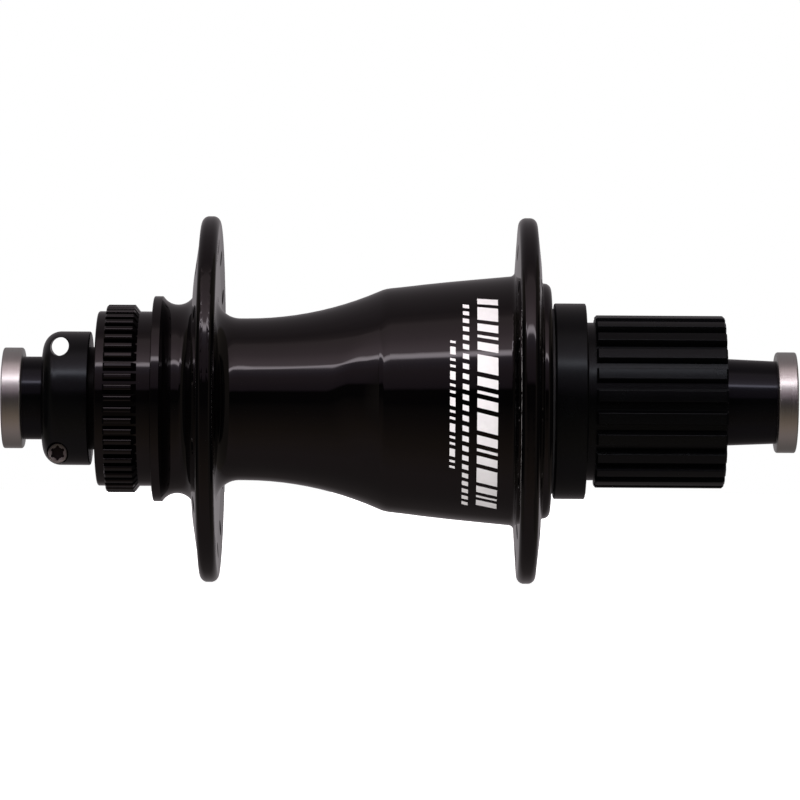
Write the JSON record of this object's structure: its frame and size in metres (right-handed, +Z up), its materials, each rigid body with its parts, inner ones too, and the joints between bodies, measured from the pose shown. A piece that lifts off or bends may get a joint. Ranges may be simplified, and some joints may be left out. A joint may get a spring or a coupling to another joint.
{
  "type": "bicycle rear hub",
  "caption": "Disc brake rear bicycle hub: flanged shell, splined rotor seat, splined cassette driver, ring ratchet, preload collar and hollow through-axle.",
  "frame": {"origin": "middle of the hub, on the axle's centre line, midway between the end faces", "axes": "+Y along the axle to the brake side, -Y to the drive side, +Z up"},
  "size_m": [0.0684, 0.148, 0.0684],
  "materials": {
    "shell_black": "gloss anodised",
    "driver_black": "matte anodised",
    "collar_black": "satin anodised",
    "cap_black": "gloss anodised",
    "end_ring_silver": "satin, turned",
    "axle_silver": "machined",
    "spacer_silver": "machined",
    "race_steel": "ground",
    "ball_steel": "polished",
    "retainer_steel": "pressed",
    "ratchet_steel": "hardened",
    "spring_steel": "drawn wire",
    "clip_steel": "blackened",
    "screw_steel": "plated",
    "seal_rubber": "moulded"
  },
  "bodies": {
    "axle_assembly": {"axle": "axle_silver", "brake_end_cap": "cap_black", "brake_end_ring": "end_ring_silver", "brake_cap_o_ring": "seal_rubber", "drive_end_cap": "cap_black", "drive_end_ring": "end_ring_silver", "drive_cap_o_ring": "seal_rubber", "driver_spacer": "spacer_silver", "brake_bearing_inner_race": "race_steel", "driver_bearing_inner_race": "race_steel"},
    "cone": {"adjusting_cone": "collar_black"},
    "collar": {"preload_collar": "collar_black", "pinch_screw": "screw_steel"},
    "shell": {"hub_shell": "shell_black", "driven_ring": "ratchet_steel", "brake_bearing_outer_race": "race_steel", "brake_bearing_seal": "seal_rubber", "brake_bearing_snap_ring": "clip_steel", "drive_bearing_outer_race": "race_steel", "drive_bearing_seal": "seal_rubber", "drive_bearing_snap_ring": "clip_steel", "drive_bearing_balls": "ball_steel", "drive_bearing_retainer": "retainer_steel"},
    "driver": {"driver_body": "driver_black", "driver_lip_seal": "seal_rubber", "drive_bearing_inner_race": "race_steel", "spring_washer": "spring_steel", "drive_spring": "spring_steel", "needle_bearing_sleeve": "race_steel", "driver_bearing_outer_race": "race_steel", "driver_bearing_seal": "seal_rubber", "driver_bearing_snap_ring": "clip_steel"},
    "ratchet_ring": {"drive_ring": "ratchet_steel"},
    "brake_cage": {"brake_bearing_balls": "ball_steel", "brake_bearing_retainer": "retainer_steel"},
    "driver_cage": {"driver_bearing_balls": "ball_steel", "driver_bearing_retainer": "retainer_steel"},
    "roller_cage": {"needle_rollers": "ball_steel", "needle_cage": "retainer_steel"}
  },
  "joints": [
    {"name": "wheel_spin", "type": "hinge", "parent": "axle_assembly", "child": "shell", "pos_m": [0, 0, 0], "axis": [0, 1, 0], "continuous": true},
    {"name": "freewheel", "type": "hinge", "parent": "shell", "child": "driver", "pos_m": [0, 0, 0], "axis": [0, 1, 0], "continuous": true},
    {"name": "drive_ring_lift", "type": "slide", "parent": "driver", "child": "ratchet_ring", "axis": [0, -1, 0], "range_m": [0, 0.0011], "stiffness_N_per_m": 1000, "springref_m": -0.002, "deforming": ["drive_spring"]},
    {"name": "cone_slide", "type": "slide", "parent": "axle_assembly", "child": "cone", "axis": [0, 1, 0], "range_m": [0, 0.0008]},
    {"name": "collar_turn", "type": "hinge", "parent": "cone", "child": "collar", "pos_m": [0, 0, 0], "axis": [0, 1, 0], "range_deg": [0, 270]},
    {"name": "brake_cage_spin", "type": "hinge", "parent": "axle_assembly", "child": "brake_cage", "pos_m": [0, 0, 0], "axis": [0, 1, 0], "continuous": true},
    {"name": "driver_cage_spin", "type": "hinge", "parent": "axle_assembly", "child": "driver_cage", "pos_m": [0, 0, 0], "axis": [0, 1, 0], "continuous": true},
    {"name": "roller_cage_spin", "type": "hinge", "parent": "axle_assembly", "child": "roller_cage", "pos_m": [0, 0, 0], "axis": [0, 1, 0], "continuous": true}
  ],
  "couplings": [
    {"joint": "cone_slide", "follows": "collar_turn", "m_per_rad": 0.00015915},
    {"joint": "brake_cage_spin", "follows": "wheel_spin", "ratio": 0.5778},
    {"joint": "driver_cage_spin", "follows": "wheel_spin", "ratio": 0.5558},
    {"joint": "roller_cage_spin", "follows": "wheel_spin", "ratio": 0.5384}
  ]
}
